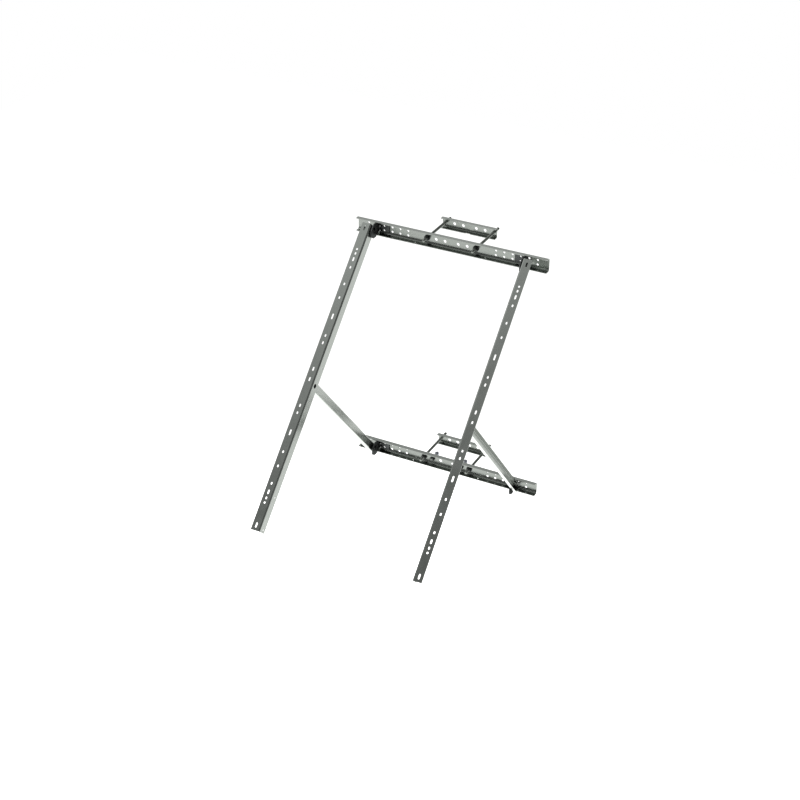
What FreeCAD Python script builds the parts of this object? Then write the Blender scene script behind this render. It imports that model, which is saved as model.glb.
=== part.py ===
import FreeCAD, Part
import math
import os

# Solar panel mount that is strapped to a pole. Two punched cross channels are clamped to the
# pole one above the other. Two slotted rails hang from pivots at the ends of the upper channel
# and two struts prop them from the lower channel, so the panel leans back by the tilt angle.
#
# Frame: X runs along the cross channels, Z is up, and the rails stand on the -Y side.
# The origin is the middle of the face of the upper cross channel that bears on the pole.
# Millimetres and degrees throughout.

Vec = FreeCAD.Vector

# Whole assembly
levelDrop = 1108.7            # the lower clamp's height below the upper one
tiltAngle = 44.83             # rail from vertical

# Cross channels
channelLength = 896.5
channelHeight = 61.0
channelDepth = 28.0
channelWall = 3.0
channelBend = 10.5            # outer radius of the two folds
channelCornerCut = 3.0
rodHoleClearance = 0.8        # radial, in the large holes
largeHoleFirst = 30.93        # first large hole from the middle
largeHolePitch = 41.83
largeHolesPerSide = 3
smallHole = 10.3
smallHoleInset = 51.55        # last column of small holes, from each end
smallHolePitch = 38.1
smallHolesPerSide = 6
smallRowInset = 9.5           # each row of small holes, from the channel's folds
flangeHole = 6.6              # pair in the lower flange only
flangeHoleX = 165.0
flangeHoleDepth = 16.0        # from the back of the web

# Clamp channels, behind the pole
poleGap = 155.4               # web of the cross channel to the jaws of the clamp channel
clampEndMargin = 14.9         # from the last large hole to the end
clampHeight = 48.7
clampDepth = 24.3
clampWall = 3.0
clampBend = 6.7
clampNotchWidth = 22.0
clampNotchDepth = 4.0
clampNotchCorner = 3.0

# Clamp rods, 1/2 in, with hex nuts and flat washers
rodDiameter = 12.7
rodFrontReach = 25.0          # beyond the front nut
rodBackReach = 30.0           # beyond the back nut
rodChamfer = 1.2
rodNutFlats = 19.05
rodNutHeight = 11.1
rodWasherDiameter = 27.0
rodWasherHeight = 2.4
rodNutChamfer = 1.0
nutChamferSlope = 0.6         # height of a nut's chamfer over its width
headOverlap = 0.5             # how far a shank runs into its head

# Short studs in the second large hole of the lower channel
studFrontReach = 1.6          # beyond the front nut
studSpacerLength = 37.0       # sleeve between the web and the back nut
studSpacerDiameter = 15.9
studBackReach = 1.6

# Angle rails
railLength = 1398.5
railFaceWidth = 42.6
railFlangeDepth = 48.0
railWall = 2.7
railBend = 6.5
railSlotLineInset = 18.7      # slots and holes of the face, from its free edge
railSlotWidth = 7.7
railHole = 8.9                # round holes of the face and the flange
railCornerRound = 2.0

# Slots of the rail face, as steps from the middle of the rail and slot lengths.
# The same pattern repeats above and below the middle.
railSlots = [
    (23.2, 17.7),
    (142.5, 13.8),
    (175.6, 11.4),
    (263.7, 25.6),
    (350.6, 11.4),
    (414.1, 11.4),
    (491.5, 11.4),
    (529.5, 18.9),
    (556.5, 11.4),
]
railRoundStep = 576.7         # round hole of the face, from the middle of the rail
railEndSlotLength = 22.1
railEndSlotInset = 23.45      # from each end of the rail

# Holes of the rail flange
railFlangeHoleDepth = 32.0    # from the rail face
railFlangeHolesTop = [657.0]           # from the top end
railFlangeHolesBottom = [157.0, 13.5]  # from the bottom end

# Pivot of the rail, measured on the rail
railPivotDown = 14.7          # from the top end
railPivotDepth = 22.8         # from the rail face
strutBoltDown = 741.8         # from the top end
strutBoltDepth = 24.0         # from the rail face

# Pivot of both levels, measured from the pole face of the channel
pivotForward = 54.5
pivotRise = 8.0

# Struts, folded to a channel
strutWidth = 38.1
strutLeg = 20.5
strutWall = 2.7
strutBend = 5.0
strutTopEnd = 8.0             # from the rail bolt to the top end
strutBottomEnd = 14.0         # from the lower pivot to the bottom end
strutCornerRound = 3.0

# Pivot brackets, folded plates
bracketWall = 5.0
bracketColumn = 4             # column of small holes that shows through the foot
bracketBoltStep = 16.4        # bracket bolts, outward from that column
bracketEarStep = 29.5         # outside face of the ear, outward from that column
bracketBaseLength = 55.0      # foot on the web, from its inner end to the outside of the ear
bracketFootMargin = 3.0       # from the foot to the channel's folds
bracketFold = 2.0             # inner radius of the fold
bracketEarReach = 74.0        # from the front of the web to the front edge of the ear
bracketEarTop = 31.0
bracketEarBottom = 33.0
bracketFlangeGap = 3.0        # inside the channel, between the ear and each flange
bracketNeckClearance = 2.0    # in front of the flanges, before the ear widens
bracketNeckRun = 4.0          # forward run of that widening
bracketRootClearance = 1.5    # past the channel's inner fold, before the ear widens
bracketRootRun = 5.0
bracketLowCutLength = 20.0    # slanting cut at the lower front corner, along the ear
bracketLowCutHeight = 13.0
bracketTopCutLength = 24.0    # and at the upper one
bracketTopCutHeight = 22.0
bracketNoseRound = 5.0

# Bracket bolts, 1/4 in
smallBoltDiameter = 6.35
smallBoltClearance = 0.35
smallBoltFlats = 11.1
smallNutHeight = 5.6
smallHeadHeight = 4.2
smallBoltReach = 1.5
smallNutChamfer = 0.6

# Pivot bolts, 3/8 in, round heads
pivotDiameter = 9.525
pivotClearance = 0.39         # in every hole that turns on the bolt
pivotHeadDiameter = 20.0
pivotHeadHeight = 4.2
pivotNutFlats = 14.3
pivotNutHeight = 8.3
pivotNutChamfer = 0.8
pivotWasherDiameter = 20.6
pivotWasherHeight = 1.6
pivotBoltReach = 2.0
spacerDiameter = 19.0
spacerLength = 4.2            # between the ear and the rail flange

# Clearances
runGap = 0.3                  # faces that slide on each other
threadGap = 0.05              # nut bore over its bolt
fixedHoleGap = 0.1            # clamped hole over its bolt


# Values that follow from the sizes above
webFrontY = -channelWall
largeHole = rodDiameter + 2 * rodHoleClearance
clampFrontY = poleGap
clampWebFrontY = poleGap + clampDepth - clampWall
clampBackY = poleGap + clampDepth
rodX = largeHoleFirst + largeHolePitch * (largeHolesPerSide - 1)
studX = largeHoleFirst + largeHolePitch * (largeHolesPerSide - 2)
pivotY = -pivotForward
lowerZ = -levelDrop
tilt = math.radians(tiltAngle)
clampLength = 2 * (rodX + clampEndMargin)

# Small holes: two rows between the folds, in columns that start from each end
smallHoleFirst = channelLength / 2 - smallHoleInset - smallHolePitch * (smallHolesPerSide - 1)
smallRowSpacing = channelHeight - 2 * channelBend - 2 * smallRowInset

# Across the mount: ear, spacer, rail flange and strut lie side by side
bracketFootHoleX = smallHoleFirst + smallHolePitch * (bracketColumn - 1)
bracketBoltX = bracketFootHoleX + bracketBoltStep
bracketEarX = bracketFootHoleX + bracketEarStep
earInnerX = bracketEarX - bracketWall
bracketEndX = bracketEarX - bracketBaseLength
railFlangeX = bracketEarX + spacerLength + runGap
railOuterX = railFlangeX + railFaceWidth
railSlotX = railOuterX - railSlotLineInset
railFlangeOuterX = railFlangeX + railWall
strutX = railFlangeOuterX + runGap
strutOuterX = strutX + strutWall


def box(x0, x1, y0, y1, z0, z1):
    return Part.makeBox(x1 - x0, y1 - y0, z1 - z0, Vec(x0, y0, z0))


def cylX(diameter, x0, x1, y, z):
    return Part.makeCylinder(diameter / 2, x1 - x0, Vec(x0, y, z), Vec(1, 0, 0))


def cylY(diameter, y0, y1, x, z):
    return Part.makeCylinder(diameter / 2, y1 - y0, Vec(x, y0, z), Vec(0, 1, 0))


def cylZ(diameter, z0, z1, x, y):
    return Part.makeCylinder(diameter / 2, z1 - z0, Vec(x, y, z0), Vec(0, 0, 1))


def mirrorX(shape):
    return shape.mirror(Vec(0, 0, 0), Vec(1, 0, 0))


def group(shapes):
    return shapes[0] if len(shapes) == 1 else Part.makeCompound(shapes)


def bothSides(shape):
    return [shape, mirrorX(shape)]


def lowered(shape):
    copy = shape.copy()
    copy.translate(Vec(0, 0, lowerZ))
    return copy


def edgesAlong(shape, axis, test):
    found = []
    for edge in shape.Edges:
        if len(edge.Vertexes) != 2:
            continue
        a, b = edge.Vertexes[0].Point, edge.Vertexes[1].Point
        d = b - a
        if d.Length > 1e-6 and abs(abs(d.dot(axis)) / d.Length - 1) < 1e-6 and test(a, b):
            found.append(edge)
    return found


# Folded channel along X: web at its back, both flanges towards -Y
def foldedChannel(length, height, depth, wall, bend, backY):
    half = height / 2
    body = box(-length / 2, length / 2, backY - depth, backY, -half, half)
    along = Vec(1, 0, 0)
    outer = edgesAlong(body, along, lambda a, b: a.y > backY - 0.01)
    body = body.makeFillet(bend, outer)
    hollow = box(-length / 2 - 1, length / 2 + 1, backY - depth - 1, backY - wall,
                 -half + wall, half - wall)
    inner = edgesAlong(hollow, along, lambda a, b: a.y > backY - wall - 0.01)
    hollow = hollow.makeFillet(bend - wall, inner)
    return body.cut(hollow)


# Six-sided prism along X or Y with chamfered corners, bored for its bolt
def hexNut(flats, height, bore, chamfer, axis, start, cross):
    across = flats / math.sqrt(3) * 2
    points = []
    for k in range(7):
        angle = math.radians(60 * k)
        points.append(Vec(across / 2 * math.cos(angle), across / 2 * math.sin(angle), 0))
    prism = Part.Face(Part.makePolygon(points)).extrude(Vec(0, 0, height))
    slope = chamfer * nutChamferSlope
    profile = [
        Vec(0, 0, 0), Vec(across / 2 - chamfer, 0, 0), Vec(across / 2 + 0.01, 0, slope),
        Vec(across / 2 + 0.01, 0, height - slope), Vec(across / 2 - chamfer, 0, height),
        Vec(0, 0, height), Vec(0, 0, 0),
    ]
    turned = Part.Face(Part.makePolygon(profile)).revolve(Vec(0, 0, 0), Vec(0, 0, 1), 360)
    nut = prism.common(turned)
    if bore > 0:
        nut = nut.cut(Part.makeCylinder(bore / 2, height + 2, Vec(0, 0, -1)))
    return placed(nut, axis, start, cross)


# Flat ring
def ring(outer, inner, height, axis, start, cross):
    body = Part.makeCylinder(outer / 2, height)
    body = body.cut(Part.makeCylinder(inner / 2, height + 2, Vec(0, 0, -1)))
    return placed(body, axis, start, cross)


# Puts a piece made along +Z on an axis: start is its coordinate along the axis
def placed(shape, axis, start, cross):
    out = shape.copy()
    if axis == "y":
        out.rotate(Vec(0, 0, 0), Vec(1, 0, 0), -90)
        out.rotate(Vec(0, 0, 0), Vec(0, 1, 0), 90)
        out.translate(Vec(cross[0], start, cross[1]))
    else:
        out.rotate(Vec(0, 0, 0), Vec(0, 1, 0), 90)
        out.translate(Vec(start, cross[0], cross[1]))
    return out


# Plain bar with chamfered ends along Y
def rodAlongY(diameter, y0, y1, x, z, chamfer):
    bar = cylY(diameter, y0, y1, x, z)
    rims = [e for e in bar.Edges if abs(e.Length - math.pi * diameter) < 0.01]
    return bar.makeChamfer(chamfer, rims)


# Round-head bolt along X, its head towards the middle of the mount
def roundBolt(headX, endX, y, z):
    shank = cylX(pivotDiameter, headX - headOverlap, endX, y, z)
    rim = pivotHeadDiameter / 2
    sphere = (rim * rim + pivotHeadHeight * pivotHeadHeight) / (2 * pivotHeadHeight)
    dome = Part.makeSphere(sphere, Vec(headX - pivotHeadHeight + sphere, y, z))
    cap = dome.common(cylX(pivotHeadDiameter + 2, headX - pivotHeadHeight - 1, headX, y, z))
    return shank.fuse(cap).removeSplitter()


# Cross channel with its hole pattern
def crossChannel():
    body = foldedChannel(channelLength, channelHeight, channelDepth, channelWall,
                         channelBend, 0)
    upright = Vec(0, 0, 1)
    endX = channelLength / 2 - 0.01
    corners = edgesAlong(body, upright,
                         lambda a, b: abs(a.x) > endX and a.y < -channelDepth + 0.01)
    body = body.makeChamfer(channelCornerCut, corners)
    holes = []
    for side in (-1, 1):
        for k in range(largeHolesPerSide):
            x = side * (largeHoleFirst + largeHolePitch * k)
            holes.append(cylY(largeHole, webFrontY - 1, 1, x, 0))
        for k in range(smallHolesPerSide):
            x = side * (smallHoleFirst + smallHolePitch * k)
            for row in (-1, 1):
                z = row * smallRowSpacing / 2
                holes.append(cylY(smallHole, webFrontY - 1, 1, x, z))
        for row in (-1, 1):
            z = row * smallRowSpacing / 2
            bore = smallBoltDiameter + 2 * smallBoltClearance
            holes.append(cylY(bore, webFrontY - 1, 1, side * bracketBoltX, z))
        holes.append(cylZ(flangeHole, -channelHeight / 2 - 1,
                          -channelHeight / 2 + channelWall + 1,
                          side * flangeHoleX, -flangeHoleDepth))
    return body.cut(Part.makeCompound(holes))


# Clamp channel: a shorter channel, its flange edges towards the pole
def clampChannel():
    body = foldedChannel(clampLength, clampHeight, clampDepth, clampWall, clampBend, clampBackY)
    holes = []
    for side in (-1, 1):
        for k in range(largeHolesPerSide):
            x = side * (largeHoleFirst + largeHolePitch * k)
            holes.append(cylY(largeHole, clampWebFrontY - 1, clampBackY + 1, x, 0))
    half = clampNotchWidth / 2
    notch = box(-half, half, clampFrontY - 1, clampFrontY + clampNotchDepth,
                -clampHeight / 2 - 1, clampHeight / 2 + 1)
    roots = edgesAlong(notch, Vec(0, 0, 1),
                       lambda a, b: a.y > clampFrontY + clampNotchDepth - 0.01)
    notch = notch.makeFillet(min(clampNotchCorner, clampNotchDepth * 0.9), roots)
    return body.cut(Part.makeCompound(holes + [notch]))


# Rods, nuts and washers of one clamp, on the row of large holes
rodFrontNutY = webFrontY - rodWasherHeight - rodNutHeight
rodFrontY = rodFrontNutY - rodFrontReach
rodBackNutY = clampBackY + rodWasherHeight
rodBackY = rodBackNutY + rodNutHeight + rodBackReach
rodBore = rodDiameter + 2 * threadGap


def clampRods():
    return bothSides(rodAlongY(rodDiameter, rodFrontY, rodBackY, rodX, 0, rodChamfer))


def rodNuts(startY):
    nut = hexNut(rodNutFlats, rodNutHeight, rodBore, rodNutChamfer, "y", startY, (rodX, 0))
    return bothSides(nut)


def rodWashers(startY):
    washer = ring(rodWasherDiameter, rodDiameter + 2 * fixedHoleGap, rodWasherHeight,
                  "y", startY, (rodX, 0))
    return bothSides(washer)


# Short studs of the lower channel with a sleeve behind the web
studFrontNutY = webFrontY - rodNutHeight
studBackNutY = studSpacerLength


def shortStuds():
    y0 = studFrontNutY - studFrontReach
    y1 = studBackNutY + rodNutHeight + studBackReach
    return bothSides(rodAlongY(rodDiameter, y0, y1, studX, 0, rodChamfer))


def studNuts(startY):
    nut = hexNut(rodNutFlats, rodNutHeight, rodBore, rodNutChamfer, "y", startY, (studX, 0))
    return bothSides(nut)


# Pivot bracket for the right-hand end: foot on the web, ear standing forward. Inside the
# channel the ear is narrow, and it widens in two steps towards its front.
def pivotBracket():
    front = webFrontY
    wall = bracketWall
    half = channelHeight / 2 - channelBend - bracketFootMargin
    foot = box(bracketEndX, bracketEarX, front - wall, front, -half, half)
    reach = front - bracketEarReach
    root = front - (channelBend - channelWall) - bracketRootClearance
    neck = -channelDepth - bracketNeckClearance
    neckHalf = channelHeight / 2 - channelWall - bracketFlangeGap
    low = -bracketEarBottom
    high = bracketEarTop
    outline = [
        (front, -half), (root, -half), (root - bracketRootRun, -neckHalf),
        (neck, -neckHalf), (neck - bracketNeckRun, low),
        (reach + bracketLowCutLength, low), (reach, low + bracketLowCutHeight),
        (reach, high - bracketTopCutHeight), (reach + bracketTopCutLength, high),
        (neck - bracketNeckRun, high), (neck, neckHalf),
        (root - bracketRootRun, neckHalf), (root, half), (front, half), (front, -half),
    ]
    points = [Vec(earInnerX, y, z) for y, z in outline]
    ear = Part.Face(Part.makePolygon(points)).extrude(Vec(wall, 0, 0))
    along = Vec(1, 0, 0)
    cutBack = max(bracketLowCutLength, bracketTopCutLength)
    nose = edgesAlong(ear, along, lambda a, b: a.y < reach + cutBack + 0.01)
    ear = ear.makeFillet(bracketNoseRound, nose)
    body = foot.fuse(ear).removeSplitter()
    upright = Vec(0, 0, 1)
    inner = edgesAlong(body, upright, lambda a, b: abs(a.x - earInnerX) < 0.01
                       and abs(a.y - (front - wall)) < 0.01)
    body = body.makeFillet(bracketFold, inner)
    outer = edgesAlong(body, upright, lambda a, b: abs(a.x - bracketEarX) < 0.01
                       and abs(a.y - front) < 0.01)
    body = body.makeFillet(bracketFold + wall, outer)
    holes = [cylX(pivotDiameter + 2 * fixedHoleGap, earInnerX - 1, bracketEarX + 1,
                  pivotY, pivotRise)]
    for row in (-1, 1):
        holes.append(cylY(smallHole, front - wall - 1, front + 1, bracketFootHoleX,
                          row * smallRowSpacing / 2))
        bore = smallBoltDiameter + 2 * smallBoltClearance
        holes.append(cylY(bore, front - wall - 1, front + 1, bracketBoltX,
                          row * smallRowSpacing / 2))
    return body.cut(Part.makeCompound(holes))


# Bolts that hold a bracket: head behind the web, nut on the foot
footFrontY = webFrontY - bracketWall
bracketNutY = footFrontY - smallNutHeight


def bracketBolts():
    bolts = []
    for row in (-1, 1):
        z = row * smallRowSpacing / 2
        head = hexNut(smallBoltFlats, smallHeadHeight, 0, smallNutChamfer, "y", 0,
                      (bracketBoltX, z))
        shank = cylY(smallBoltDiameter, bracketNutY - smallBoltReach, headOverlap,
                     bracketBoltX, z)
        bolts += bothSides(head.fuse(shank).removeSplitter())
    return bolts


def bracketNuts():
    nuts = []
    for row in (-1, 1):
        z = row * smallRowSpacing / 2
        bore = smallBoltDiameter + 2 * threadGap
        nuts += bothSides(hexNut(smallBoltFlats, smallNutHeight, bore, smallNutChamfer, "y",
                                 bracketNutY, (bracketBoltX, z)))
    return nuts


# Angle rail for the right-hand side, hung from its pivot. It is drawn upright with its
# pivot at the origin and its face towards -Y, then leaned by the tilt angle.
def rail():
    top = railPivotDown
    bottom = railPivotDown - railLength
    frontY = -railPivotDepth
    body = box(railFlangeX, railOuterX, frontY, frontY + railFlangeDepth, bottom, top)
    upright = Vec(0, 0, 1)
    outer = edgesAlong(body, upright,
                       lambda a, b: a.x < railFlangeX + 0.01 and a.y < frontY + 0.01)
    body = body.makeFillet(railBend, outer)
    hollow = box(railFlangeX + railWall, railOuterX + 1, frontY + railWall,
                 frontY + railFlangeDepth + 1, bottom - 1, top + 1)
    inner = edgesAlong(hollow, upright, lambda a, b: a.x < railFlangeX + railWall + 0.01
                       and a.y < frontY + railWall + 0.01)
    hollow = hollow.makeFillet(railBend - railWall, inner)
    body = body.cut(hollow)
    corners = edgesAlong(body, Vec(0, 1, 0), lambda a, b: a.x > railOuterX - 0.01)
    body = body.makeFillet(railCornerRound, corners)
    middle = (top + bottom) / 2
    endSlot = railLength / 2 - railEndSlotInset
    holes = []
    for side in (-1, 1):
        for step, length in railSlots + [(endSlot, railEndSlotLength)]:
            holes.append(slotY(railSlotX, middle + side * step, railSlotWidth, length,
                               frontY - 1, frontY + railWall + 1))
        holes.append(cylY(railHole, frontY - 1, frontY + railWall + 1, railSlotX,
                          middle + side * railRoundStep))
    flangeHoles = [top - down for down in railFlangeHolesTop]
    flangeHoles += [bottom + up for up in railFlangeHolesBottom]
    for z in flangeHoles:
        holes.append(cylX(railHole, railFlangeX - 1, railFlangeOuterX + 1,
                          frontY + railFlangeHoleDepth, z))
    holes.append(cylX(pivotDiameter + 2 * pivotClearance, railFlangeX - 1,
                      railFlangeOuterX + 1, 0, 0))
    holes.append(cylX(pivotDiameter + 2 * fixedHoleGap, railFlangeX - 1,
                      railFlangeOuterX + 1, frontY + strutBoltDepth, top - strutBoltDown))
    return hang(body.cut(Part.makeCompound(holes)))


# Round-ended slot through a face that looks along Y, long in Z
def slotY(x, z, width, length, y0, y1):
    reach = (length - width) / 2
    ends = cylY(width, y0, y1, x, z - reach).fuse(cylY(width, y0, y1, x, z + reach))
    middle = box(x - width / 2, x + width / 2, y0, y1, z - reach, z + reach)
    return ends.fuse(middle).removeSplitter()


# From the upright drawing of the rail to its place
def hang(shape):
    out = shape.copy()
    out.rotate(Vec(0, 0, 0), Vec(1, 0, 0), -tiltAngle)
    out.translate(Vec(0, pivotY, pivotRise))
    return out


# The rail bolt of the strut, in the frame of the whole mount
def strutBoltPoint():
    y = strutBoltDepth - railPivotDepth
    z = railPivotDown - strutBoltDown
    turn = -tilt
    return (pivotY + y * math.cos(turn) - z * math.sin(turn),
            pivotRise + y * math.sin(turn) + z * math.cos(turn))


boltY, boltZ = strutBoltPoint()
lowPivotZ = lowerZ + pivotRise
strutSpan = math.hypot(boltY - pivotY, boltZ - lowPivotZ)
strutLean = math.degrees(math.atan2(pivotY - boltY, boltZ - lowPivotZ))


# Strut for the right-hand side, drawn upright on its lower pivot: web against the rail
# flange, both legs pointing away from the middle of the mount
def strut():
    half = strutWidth / 2
    top = strutSpan + strutTopEnd
    bottom = -strutBottomEnd
    body = box(strutX, strutX + strutLeg, -half, half, bottom, top)
    upright = Vec(0, 0, 1)
    outer = edgesAlong(body, upright, lambda a, b: a.x < strutX + 0.01)
    body = body.makeFillet(strutBend, outer)
    hollow = box(strutOuterX, strutX + strutLeg + 1, -half + strutWall, half - strutWall,
                 bottom - 1, top + 1)
    inner = edgesAlong(hollow, upright, lambda a, b: a.x < strutOuterX + 0.01)
    hollow = hollow.makeFillet(strutBend - strutWall, inner)
    body = body.cut(hollow)
    corners = edgesAlong(body, Vec(0, 1, 0), lambda a, b: a.x > strutX + strutLeg - 0.01)
    body = body.makeFillet(strutCornerRound, corners)
    bore = pivotDiameter + 2 * pivotClearance
    holes = [cylX(bore, strutX - 1, strutOuterX + 1, 0, z) for z in (0, strutSpan)]
    body = body.cut(Part.makeCompound(holes))
    body.rotate(Vec(0, 0, 0), Vec(1, 0, 0), strutLean)
    body.translate(Vec(0, pivotY, lowPivotZ))
    return body


# Pivot hardware: bolt, nut, washer and spacer along X. carrierX is the outer face of the
# part that turns on the bolt.
def pivotWasherX(carrierX):
    return carrierX + runGap


def pivotNutX(carrierX):
    return pivotWasherX(carrierX) + pivotWasherHeight


def pivotEndX(carrierX):
    return pivotNutX(carrierX) + pivotNutHeight + pivotBoltReach


def pivotBolts(headX, carrierX, y, z):
    return bothSides(roundBolt(headX, pivotEndX(carrierX), y, z))


def pivotNuts(carrierX, y, z):
    nut = hexNut(pivotNutFlats, pivotNutHeight, pivotDiameter + 2 * threadGap,
                 pivotNutChamfer, "x", pivotNutX(carrierX), (y, z))
    return bothSides(nut)


def pivotWashers(carrierX, y, z):
    washer = ring(pivotWasherDiameter, pivotDiameter + 2 * fixedHoleGap, pivotWasherHeight,
                  "x", pivotWasherX(carrierX), (y, z))
    return bothSides(washer)


def pivotSpacers(turningX, y, z):
    spacer = ring(spacerDiameter, pivotDiameter + 2 * fixedHoleGap,
                  turningX - runGap - bracketEarX, "x", bracketEarX, (y, z))
    return bothSides(spacer)


def buildNodes():
    nodes = {}
    channel = crossChannel()
    clamp = clampChannel()
    bracket = pivotBracket()
    oneRail = rail()
    oneStrut = strut()
    rods = clampRods()
    frontNuts, backNuts = rodNuts(rodFrontNutY), rodNuts(rodBackNutY)
    frontWashers, backWashers = rodWashers(webFrontY - rodWasherHeight), rodWashers(clampBackY)
    bolts, nuts = bracketBolts(), bracketNuts()
    for level in ("upper", "lower"):
        def here(shapes):
            return group([lowered(s) for s in shapes] if level == "lower" else shapes)
        nodes[level + "_cross_channel"] = here([channel])
        nodes[level + "_clamp_channel"] = here([clamp])
        nodes[level + "_right_bracket"] = here([bracket])
        nodes[level + "_left_bracket"] = here([mirrorX(bracket)])
        nodes[level + "_clamp_rods"] = here(rods)
        nodes[level + "_front_nuts"] = here(frontNuts)
        nodes[level + "_front_washers"] = here(frontWashers)
        nodes[level + "_back_nuts"] = here(backNuts)
        nodes[level + "_back_washers"] = here(backWashers)
        nodes[level + "_bracket_bolts"] = here(bolts)
        nodes[level + "_bracket_nuts"] = here(nuts)
    nodes["lower_studs"] = group([lowered(s) for s in shortStuds()])
    nodes["lower_stud_front_nuts"] = group([lowered(s) for s in studNuts(studFrontNutY)])
    nodes["lower_stud_back_nuts"] = group([lowered(s) for s in studNuts(studBackNutY)])
    sleeve = ring(studSpacerDiameter, rodDiameter + 2 * fixedHoleGap, studSpacerLength,
                  "y", 0, (studX, lowerZ))
    nodes["lower_stud_sleeves"] = group(bothSides(sleeve))
    nodes["right_rail"] = oneRail
    nodes["left_rail"] = mirrorX(oneRail)
    nodes["right_strut"] = oneStrut
    nodes["left_strut"] = mirrorX(oneStrut)
    upper = (pivotY, pivotRise)
    lower = (pivotY, lowPivotZ)
    middle = (boltY, boltZ)
    nodes["upper_pivot_bolts"] = group(pivotBolts(earInnerX, railFlangeOuterX, *upper))
    nodes["upper_pivot_nuts"] = group(pivotNuts(railFlangeOuterX, *upper))
    nodes["upper_pivot_washers"] = group(pivotWashers(railFlangeOuterX, *upper))
    nodes["upper_pivot_spacers"] = group(pivotSpacers(railFlangeX, *upper))
    nodes["lower_pivot_bolts"] = group(pivotBolts(earInnerX, strutOuterX, *lower))
    nodes["lower_pivot_nuts"] = group(pivotNuts(strutOuterX, *lower))
    nodes["lower_pivot_washers"] = group(pivotWashers(strutOuterX, *lower))
    nodes["lower_pivot_spacers"] = group(pivotSpacers(strutX, *lower))
    nodes["strut_bolts"] = group(pivotBolts(railFlangeX, strutOuterX, *middle))
    nodes["strut_bolt_nuts"] = group(pivotNuts(strutOuterX, *middle))
    nodes["strut_bolt_washers"] = group(pivotWashers(strutOuterX, *middle))
    return nodes


def main():
    os.makedirs("parts", exist_ok=True)
    for name, shape in buildNodes().items():
        shape.exportStep("parts/" + name + ".step")
        print(name, "solids", len(shape.Solids), "valid", shape.isValid(),
              "mm3", round(shape.Volume, 1))
    print("strut span", round(strutSpan, 3), "lean", round(strutLean, 3))
    print("strut bolt", round(boltY, 3), round(boltZ, 3))


main()
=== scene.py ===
import math

import bpy
import numpy as np
from mathutils import Matrix, Vector


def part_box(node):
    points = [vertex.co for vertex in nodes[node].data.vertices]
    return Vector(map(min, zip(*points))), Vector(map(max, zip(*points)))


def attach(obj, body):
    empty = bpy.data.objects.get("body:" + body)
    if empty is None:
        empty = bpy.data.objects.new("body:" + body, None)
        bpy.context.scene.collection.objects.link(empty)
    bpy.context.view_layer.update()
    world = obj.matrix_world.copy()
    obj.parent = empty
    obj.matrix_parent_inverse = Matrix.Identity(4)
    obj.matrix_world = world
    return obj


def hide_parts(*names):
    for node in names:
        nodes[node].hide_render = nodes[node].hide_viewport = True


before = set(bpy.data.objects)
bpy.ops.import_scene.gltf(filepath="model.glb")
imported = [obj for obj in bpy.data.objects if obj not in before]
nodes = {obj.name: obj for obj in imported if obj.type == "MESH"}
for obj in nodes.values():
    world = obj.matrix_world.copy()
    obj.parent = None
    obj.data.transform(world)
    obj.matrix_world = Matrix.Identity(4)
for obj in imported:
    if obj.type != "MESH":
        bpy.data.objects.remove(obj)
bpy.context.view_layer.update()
scene = bpy.context.scene
print("stage: frame loaded,", len(nodes), "nodes")


def linear(hexColour):
    # sRGB hex to linear: v/12.92 below 0.04045, else ((v + 0.055) / 1.055) ** 2.4
    values = [int(hexColour[i:i + 2], 16) / 255 for i in (1, 3, 5)]
    return [v / 12.92 if v <= 0.04045 else ((v + 0.055) / 1.055) ** 2.4 for v in values] + [1.0]


def addNode(tree, kind, settings=None, links=None):
    # one node with its settings; an input is set by name or number, or linked from a socket
    node = tree.nodes.new(kind)
    for key, value in (settings or {}).items():
        if isinstance(key, int) or key in node.inputs:
            node.inputs[key].default_value = value
        else:
            setattr(node, key, value)
    for key, source in (links or {}).items():
        tree.links.new(source, node.inputs[key])
    return node


# Camera: it stands to the right of the mount and looks down on it
cameraPlace = {
    "azimuth": 27.366,                      # degrees round from the front
    "elevation": 30.89,
    "roll": 0.253,
    "distance": 6.91433,                    # metres
    "pixelFocus": 1632.8,                   # focal length in pixels of the frame below
    "frameSize": 800,
    "origin": (0.0, -0.003, 0.0),           # front of the upper channel, at its middle
    "originPixel": (451.488, 242.984),      # the pixel that this point sits on
    "sensorWidth": 36,                      # millimetres
    "clip": (0.1, 200),
}


def makeCamera(p):
    azimuth, elevation, roll = (math.radians(p[k]) for k in ("azimuth", "elevation", "roll"))
    level = math.cos(elevation)
    back = Vector((math.sin(azimuth) * level, -math.cos(azimuth) * level, math.sin(elevation)))
    right = Vector((math.cos(azimuth), math.sin(azimuth), 0))
    up = back.cross(right)
    sideways = right * math.cos(roll) + up * math.sin(roll)
    upwards = up * math.cos(roll) - right * math.sin(roll)

    # from the pixel that the origin sits on, how far the view's middle lies off it
    middle = p["frameSize"] / 2
    offX = (p["originPixel"][0] - middle) / p["pixelFocus"] * p["distance"]
    offY = (middle - p["originPixel"][1]) / p["pixelFocus"] * p["distance"]
    place = Vector(p["origin"]) - sideways * offX - upwards * offY + back * p["distance"]

    data = bpy.data.cameras.new("camera")
    data.sensor_width = p["sensorWidth"]
    data.lens = p["sensorWidth"] * p["pixelFocus"] / p["frameSize"]
    data.clip_start, data.clip_end = p["clip"]
    camera = bpy.data.objects.new("camera", data)
    scene.collection.objects.link(camera)
    turn = Matrix((sideways, upwards, back)).transposed().to_4x4()
    camera.matrix_world = Matrix.Translation(place) @ turn
    scene.camera = camera


makeCamera(cameraPlace)
print("stage: camera")


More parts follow.
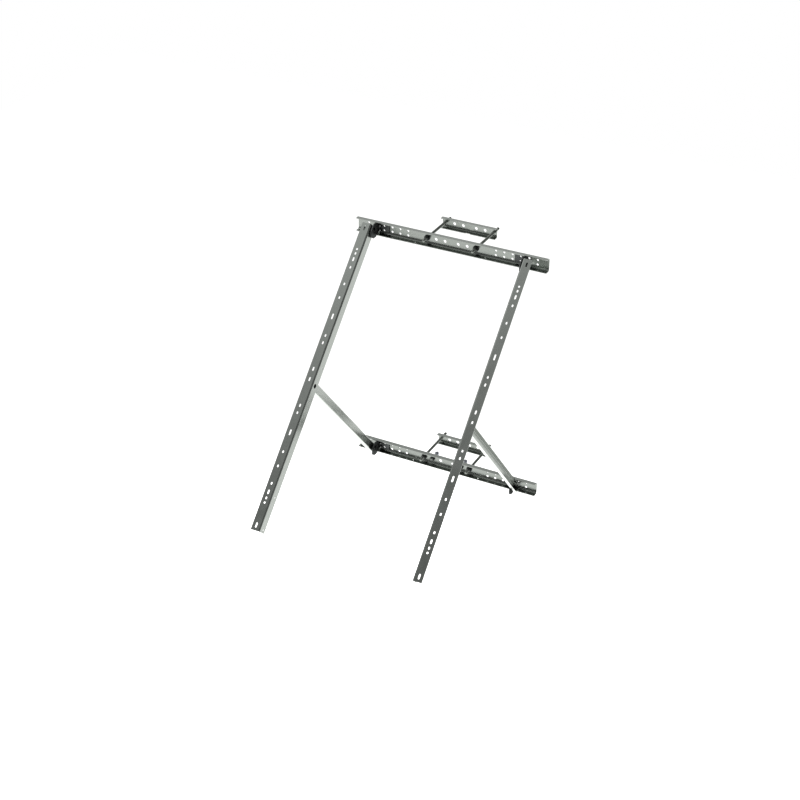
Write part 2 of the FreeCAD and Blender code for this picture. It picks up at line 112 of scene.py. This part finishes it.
# Sky: a dim surround with one broad soft light above on the left and a pale backdrop behind.
# Stops are (cosine off the middle, brightness added there).
sky = {
    "surround": 0.18,
    "softLight": (-0.595, 0.0, 0.804),      # towards the middle of the soft light
    "softStops": [(0.77, 0.0), (0.80, 0.02), (0.83, 0.10), (0.855, 0.24), (0.88, 0.46),
                  (0.905, 0.72), (1.0, 1.15)],
    "backdrop": (-0.36, 0.91, 0.20),        # towards the middle of the backdrop
    "backStops": [(0.70, 0.0), (0.93, 0.38), (0.975, 0.50), (1.0, 0.62)],
    "seenColour": (1, 1, 1, 1),             # what the camera itself sees of it
}


def makeSky(p):
    world = bpy.data.worlds.new("studio")
    world.use_nodes = True
    tree = world.node_tree
    tree.nodes.clear()
    way = addNode(tree, "ShaderNodeTexCoord")
    total = None
    for aim, levels in ((p["softLight"], p["softStops"]), (p["backdrop"], p["backStops"])):
        near = addNode(tree, "ShaderNodeVectorMath",
                       {"operation": "DOT_PRODUCT", 1: Vector(aim).normalized()},
                       {0: way.outputs["Generated"]})
        ramp = addNode(tree, "ShaderNodeValToRGB", {}, {"Fac": near.outputs["Value"]})
        stops = ramp.color_ramp.elements
        stops[0].position, stops[0].color = 0.0, (0, 0, 0, 1)
        stops[1].position, stops[1].color = 1.0, [levels[-1][1]] * 3 + [1]
        for place, value in levels[:-1]:
            stops.new(place).color = (value, value, value, 1)
        # the surround is added once, and each further glow is added to the total so far
        parts = {0: ramp.outputs["Color"]}
        if total is not None:
            parts[1] = total
        total = addNode(tree, "ShaderNodeVectorMath",
                        {"operation": "ADD", 1: [p["surround"]] * 3}, parts).outputs["Vector"]
    seen = addNode(tree, "ShaderNodeLightPath")
    shown = addNode(tree, "ShaderNodeMix", {"data_type": "RGBA", 7: p["seenColour"]},
                    {"Factor": seen.outputs["Is Camera Ray"], 6: total})
    glow = addNode(tree, "ShaderNodeBackground", {"Strength": 1.0}, {"Color": shown.outputs[2]})
    addNode(tree, "ShaderNodeOutputWorld", {}, {"Surface": glow.outputs["Background"]})
    scene.world = world
    scene.view_settings.view_transform = "Standard"
    scene.view_settings.look = "None"
    scene.view_settings.exposure = 0
    scene.view_settings.gamma = 1


makeSky(sky)


# Fill: a wide soft sun from straight above, for what isn't mirror-like
fill = {"strength": 1.5, "angle": 60}


def makeFill(p):
    sun = bpy.data.lights.new("fillLight", "SUN")
    sun.energy = p["strength"]
    sun.angle = math.radians(p["angle"])
    lamp = bpy.data.objects.new("fillLight", sun)
    lamp.visible_glossy = False
    scene.collection.objects.link(lamp)


makeFill(fill)


# Floor: an opal panel that glows by itself, with a painted pool of light behind the mount on
# the left, brighter there, for the metals to reflect
floorPanel = {
    "height": -2.4,
    "size": 14.0,
    "colour": "#fdfdfc",
    "level": 1.22,                          # brightness over most of it
    "paintedPoolLevel": 2.7,                       # brightness at the middle of the painted pool of light
    "paintedPoolMiddle": (-0.75, 0.8, 0.0),
    "paintedPoolEdges": (0.35, 1.7),               # metres off that middle where it fades and ends
}


def makeFloor(p):
    # the painted pool of light fades smoothly with the distance from its middle, measured flat
    half = p["size"] / 2
    mesh = bpy.data.meshes.new("floor")
    corners = [(-half, -half), (half, -half), (half, half), (-half, half)]
    mesh.from_pydata([(x, y, p["height"]) for x, y in corners], [], [(0, 1, 2, 3)])
    floor = bpy.data.objects.new("floor", mesh)
    scene.collection.objects.link(floor)
    material = bpy.data.materials.new("glowFloorPaintedPool")
    material.use_nodes = True
    tree = material.node_tree
    tree.nodes.clear()
    place = addNode(tree, "ShaderNodeTexCoord")
    flat = addNode(tree, "ShaderNodeVectorMath", {"operation": "MULTIPLY", 1: (1, 1, 0)},
                   {0: place.outputs["Object"]})
    away = addNode(tree, "ShaderNodeVectorMath", {"operation": "DISTANCE", 1: p["paintedPoolMiddle"]},
                   {0: flat.outputs["Vector"]})
    level = addNode(tree, "ShaderNodeMapRange",
                    {"interpolation_type": "SMOOTHSTEP", "From Min": p["paintedPoolEdges"][0],
                     "From Max": p["paintedPoolEdges"][1], "To Min": p["paintedPoolLevel"],
                     "To Max": p["level"]}, {"Value": away.outputs["Value"]})
    # the floor's own glow, raised in the painted pool of light
    lit = addNode(tree, "ShaderNodeEmission", {"Color": linear(p["colour"])},
                  {"Strength": level.outputs["Result"]})
    addNode(tree, "ShaderNodeOutputMaterial", {}, {"Surface": lit.outputs["Emission"]})
    mesh.materials.append(material)


makeFloor(floorPanel)
print("stage: studio")


# Metals: a slow cloud and a fine grain change their colour and their gloss a little. The
# grain of the black and the plated finishes is coarser than the real one, so that it shows.
mottle = {
    "detail": 3.0,                          # octaves of the cloud
    "breakUp": 0.6,                         # strength of each next octave
    "colourEnds": (0.35, 0.75),             # pattern values of the dark and the light colour
    "glossEnds": (0.3, 0.8),                # and of the smooth and the rough end
    "bumpDepth": 0.0004,                    # metres
}


def metal(name, p):
    # edge is how much of its mirror a metal keeps at grazing light: 1 all, 0 hardly any
    material = bpy.data.materials.new(name)
    material.use_nodes = True
    tree = material.node_tree
    shader = tree.nodes["Principled BSDF"]
    shader.inputs["Metallic"].default_value = p["metallic"]
    shader.inputs["Specular Tint"].default_value = [p["edge"]] * 3 + [1]
    place = addNode(tree, "ShaderNodeTexCoord")
    cloud = addNode(tree, "ShaderNodeTexNoise",
                    {"Scale": 1000 / p["cloudMm"], "Detail": mottle["detail"],
                     "Roughness": mottle["breakUp"]}, {"Vector": place.outputs["Object"]})
    grain = addNode(tree, "ShaderNodeTexVoronoi", {"Scale": 1000 / p["grainMm"]},
                    {"Vector": place.outputs["Object"]})
    pattern = addNode(tree, "ShaderNodeMath", {"operation": "MULTIPLY_ADD", 1: p["grainShare"]},
                      {0: grain.outputs["Color"], 2: cloud.outputs["Fac"]})
    colour = addNode(tree, "ShaderNodeValToRGB", {}, {"Fac": pattern.outputs["Value"]})
    ends = zip(colour.color_ramp.elements, mottle["colourEnds"], ("dark", "light"))
    for stop, position, key in ends:
        stop.position, stop.color = position, linear(p[key])
    gloss = addNode(tree, "ShaderNodeMapRange",
                    {"From Min": mottle["glossEnds"][0], "From Max": mottle["glossEnds"][1],
                     "To Min": p["smooth"], "To Max": p["rough"]},
                    {"Value": pattern.outputs["Value"]})
    bump = addNode(tree, "ShaderNodeBump",
                   {"Strength": p["bump"], "Distance": mottle["bumpDepth"]},
                   {"Height": cloud.outputs["Fac"]})
    tree.links.new(colour.outputs["Color"], shader.inputs["Base Color"])
    tree.links.new(gloss.outputs["Result"], shader.inputs["Roughness"])
    tree.links.new(bump.outputs["Normal"], shader.inputs["Normal"])
    return material


# hot-dip zinc on rolled steel: pale grey with a green cast, satin, with a faint spangle
zincSheet = metal("zincCoatedSheet", {
    "light": "#a6aba6", "dark": "#a1a6a1", "metallic": 1.0, "edge": 1.0, "cloudMm": 60,
    "grainMm": 9, "grainShare": 0.2, "smooth": 0.20, "rough": 0.26, "bump": 0.01,
})
# black oxide on plates and large nuts: soft black, kept dark at grazing light by its pores
blackPlate = metal("blackOxidePlate", {
    "light": "#676a69", "dark": "#565958", "metallic": 0.9, "edge": 0.05, "cloudMm": 25,
    "grainMm": 4, "grainShare": 0.3, "smooth": 0.32, "rough": 0.45, "bump": 0.06,
})
# black oxide on small nuts and bolt heads: darker and more even than on the plate
blackNut = metal("blackOxideNut", {
    "light": "#303231", "dark": "#222423", "metallic": 0.9, "edge": 0.1, "cloudMm": 12,
    "grainMm": 2, "grainShare": 0.2, "smooth": 0.30, "rough": 0.40, "bump": 0.04,
})
# zinc plate on turned steel: darker than the sheet, in fine rolled threads
zincBolt = metal("zincPlatedBolt", {
    "light": "#9a9f99", "dark": "#8c918b", "metallic": 1.0, "edge": 1.0, "cloudMm": 18,
    "grainMm": 3, "grainShare": 0.2, "smooth": 0.24, "rough": 0.32, "bump": 0.02,
})
# zinc plate with a clear blue passivate: paler and cooler than the rods
blueZinc = metal("bluePassivatedZinc", {
    "light": "#cdd1d8", "dark": "#bfc3ca", "metallic": 1.0, "edge": 1.0, "cloudMm": 10,
    "grainMm": 2, "grainShare": 0.2, "smooth": 0.28, "rough": 0.38, "bump": 0.02,
})
# zinc plate on the bracket bolts, made pale and chalky as a painted highlight, so that the bolt
# ends show bright in the shade of the brackets
paleZincPaintedHighlight = metal("zincPlatePaintedHighlight", {
    "light": "#d6d9d6", "dark": "#c7cac7", "metallic": 0.3, "edge": 1.0, "cloudMm": 8,
    "grainMm": 2, "grainShare": 0.3, "smooth": 0.35, "rough": 0.50, "bump": 0.03,
})

# each finish with the name endings of the nodes that wear it; the first that fits is used
finishes = (
    (blackPlate, ("_bracket", "_front_nuts", "_front_washers")),
    (zincSheet, ("_channel", "_rail", "_strut")),
    # the bracket bolts wear the pale zinc with its painted highlight
    (paleZincPaintedHighlight, ("_bracket_bolts",)),
    (blueZinc, ("stud_back_nuts", "stud_sleeves")),
    (blackNut, ("bracket_nuts", "pivot_bolts", "strut_bolts", "pivot_nuts", "pivot_washers",
                "pivot_spacers", "bolt_nuts", "bolt_washers")),
)
for name, node in nodes.items():
    wears = next((finish for finish, endings in finishes if name.endswith(endings)), zincBolt)
    for slot in node.material_slots:
        slot.material = wears
print("stage: metals")


# Threads: rolled 1/2-13 threads on the rods and the studs, in millimetres
threadSizes = {
    "diameter": 12.7,
    "pitch": 25.4 / 13,
    "depth": 1.15,
    "crestShare": 0.12,                     # share of the half wave that is flat at the crest
    "flankShare": 0.76,                     # and that is flank; the rest is flat root
    "around": 36,                           # points round a ring
    "perPitch": 6,                          # rings to a pitch
    "chamfer": 1.2,
    "rodX": 114.59,                         # rods and studs, off the middle
    "studX": 72.76,
    "levelDrop": 1108.7,                    # the lower clamp below the upper one
}


def threadSurface(p, x, z, y0, y1):
    # r = major - depth * |2 frac(y / pitch + turn) - 1| clipped flat at crest and root, and no
    # more than the chamfer cone allows at either end. Turn runs from X to Z, so this is a
    # right-hand thread. Rings close on themselves and each end closes on one middle point.
    n, m = int((y1 - y0) / p["pitch"] * p["perPitch"]), p["around"]
    y = np.linspace(y0, y1, n)
    turn = np.linspace(0, 1, m, endpoint=False)
    yy, tt = np.meshgrid(y, turn, indexing="ij")
    wave = np.abs(2 * np.mod(yy / p["pitch"] + tt, 1) - 1)
    wave = np.clip((wave - p["crestShare"]) / p["flankShare"], 0, 1)
    major = p["diameter"] / 2
    fromEnd = np.minimum(yy - y0, y1 - yy)
    radius = np.minimum(major - p["depth"] * wave, major - p["chamfer"] + fromEnd)
    ringX = x + radius * np.cos(2 * np.pi * tt)
    ringZ = z + radius * np.sin(2 * np.pi * tt)
    points = np.stack([ringX, yy, ringZ], -1).reshape(-1, 3)
    points = np.vstack([points, [[x, y0, z], [x, y1, z]]])

    ring = np.arange(m)
    after = (ring + 1) % m
    start = np.arange(n - 1)[:, None] * m
    here, beside = start + ring, start + after
    quads = np.stack([here, here + m, beside + m, beside], -1).reshape(-1, 4)
    lastRing = (n - 1) * m
    frontCap = np.stack([np.full(m, n * m), ring, after], -1)
    backCap = np.stack([np.full(m, n * m + 1), lastRing + after, lastRing + ring], -1)
    return points / 1000, quads, np.vstack([frontCap, backCap])


def threadedPair(name, node, body, p, x, z):
    # one piece of two threaded bars at x either side of the middle, as long as their node
    low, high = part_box(node)
    points, faces, count = [], [], 0
    for side in (-1, 1):
        at, quads, caps = threadSurface(p, side * x, z, low.y * 1000, high.y * 1000)
        faces += (quads + count).tolist() + (caps + count).tolist()
        points.append(at)
        count += len(at)
    mesh = bpy.data.meshes.new(name)
    mesh.from_pydata(np.vstack(points).tolist(), [], faces)
    mesh.polygons.foreach_set("use_smooth", np.ones(len(faces), bool))
    mesh.materials.append(zincBolt)
    piece = bpy.data.objects.new(name, mesh)
    scene.collection.objects.link(piece)
    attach(piece, body)
    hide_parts(node)


threadedPair("upperThreadedRods", "upper_clamp_rods", "upper_mount", threadSizes,
             threadSizes["rodX"], 0)
threadedPair("lowerThreadedRods", "lower_clamp_rods", "lower_mount", threadSizes,
             threadSizes["rodX"], -threadSizes["levelDrop"])
threadedPair("lowerThreadedStuds", "lower_studs", "lower_mount", threadSizes,
             threadSizes["studX"], -threadSizes["levelDrop"])
print("stage: threads")
